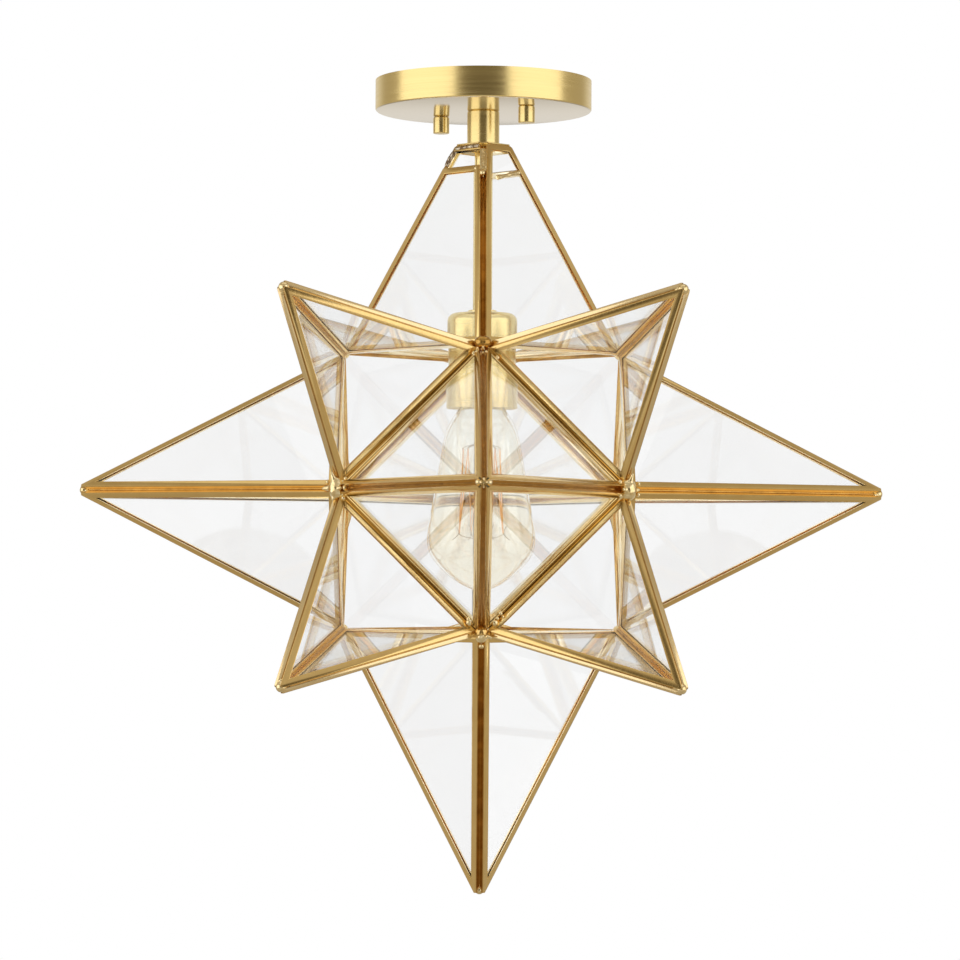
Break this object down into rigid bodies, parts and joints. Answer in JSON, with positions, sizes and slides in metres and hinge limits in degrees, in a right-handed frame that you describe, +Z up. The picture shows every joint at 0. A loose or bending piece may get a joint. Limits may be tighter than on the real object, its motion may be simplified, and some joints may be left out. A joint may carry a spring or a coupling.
{
  "type": "flush mount ceiling light",
  "caption": "Star lantern ceiling light: clear glass spikes in folded brass channel on a short stem under a round canopy, with a hinged bottom spike to reach the bulb.",
  "frame": {"origin": "middle of the mounting plate's top face, which lies on the ceiling", "axes": "+Z up into the ceiling, -Y towards the front spike, +X to the right seen from the front"},
  "size_m": [0.5082, 0.5082, 0.5148],
  "materials": {
    "channel_brass": "polished",
    "solder": "brass-plated solder, bright",
    "satin_brass": "brushed satin",
    "plain_brass": "plain",
    "clear_glass": "clear",
    "amber_glass": "clear, amber tint",
    "stem_glass": "clear",
    "filament_wire": "fine wire",
    "zinc_steel": "zinc plated",
    "white_holder": "glazed",
    "black_insulator": "gloss",
    "contact_metal": "tinned"
  },
  "bodies": {
    "fixture": {"back_spike_channels": "channel_brass", "back_spike_glass": "clear_glass", "canopy": "satin_brass", "canopy_nut": "zinc_steel", "canopy_studs": "zinc_steel", "catch_clip": "plain_brass", "collar": "satin_brass", "corner_solder": "solder", "cup_cap": "satin_brass", "cup_nut": "zinc_steel", "front_spike_channels": "channel_brass", "front_spike_glass": "clear_glass", "hinge_shell_tubes": "plain_brass", "hinge_wire": "plain_brass", "holder_contact": "plain_brass", "lampholder": "white_holder", "left_spike_channels": "channel_brass", "left_spike_glass": "clear_glass", "lock_washer": "zinc_steel", "lower_back_left_spike_channels": "channel_brass", "lower_back_left_spike_glass": "clear_glass", "lower_back_right_spike_channels": "channel_brass", "lower_back_right_spike_glass": "clear_glass", "lower_front_left_spike_channels": "channel_brass", "lower_front_left_spike_glass": "clear_glass", "lower_front_right_spike_channels": "channel_brass", "lower_front_right_spike_glass": "clear_glass", "mounting_plate": "zinc_steel", "right_spike_channels": "channel_brass", "right_spike_glass": "clear_glass", "ring_nut": "satin_brass", "screw_shell": "plain_brass", "socket_cup": "satin_brass", "stem_pipe": "satin_brass", "tip_solder": "solder", "top_plate": "satin_brass", "top_spike_channels": "channel_brass", "top_spike_glass": "clear_glass", "upper_back_left_spike_channels": "channel_brass", "upper_back_left_spike_glass": "clear_glass", "upper_back_right_spike_channels": "channel_brass", "upper_back_right_spike_glass": "clear_glass", "upper_front_left_spike_channels": "channel_brass", "upper_front_left_spike_glass": "clear_glass", "upper_front_right_spike_channels": "channel_brass", "upper_front_right_spike_glass": "clear_glass"},
    "opening_spike": {"bottom_spike_channels": "channel_brass", "bottom_spike_glass": "clear_glass", "door_solder": "solder", "hinge_door_tube": "plain_brass", "catch_blade": "plain_brass"},
    "bulb": {"bulb_glass": "amber_glass", "bulb_cap": "plain_brass", "cap_insulator": "black_insulator", "bulb_contact": "contact_metal", "bulb_stem": "stem_glass", "filament": "filament_wire", "filament_supports": "filament_wire"},
    "rear_knob": {"rear_canopy_knob": "satin_brass"},
    "front_knob": {"front_canopy_knob": "satin_brass"}
  },
  "joints": [
    {"name": "spike_hinge", "type": "hinge", "parent": "fixture", "child": "opening_spike", "pos_m": [-0.04545, 0.04545, -0.35308], "axis": [0.7071, 0.7071, 0], "range_deg": [0, 85]},
    {"name": "bulb_turn", "type": "hinge", "parent": "fixture", "child": "bulb", "pos_m": [0, 0, -0.26074], "axis": [0, 0, 1], "continuous": true},
    {"name": "rear_knob_turn", "type": "hinge", "parent": "fixture", "child": "rear_knob", "pos_m": [-0.0269, 0.02796, -0.0193], "axis": [0, 0, 1], "continuous": true},
    {"name": "front_knob_turn", "type": "hinge", "parent": "fixture", "child": "front_knob", "pos_m": [0.0269, -0.02796, -0.0193], "axis": [0, 0, 1], "continuous": true}
  ]
}
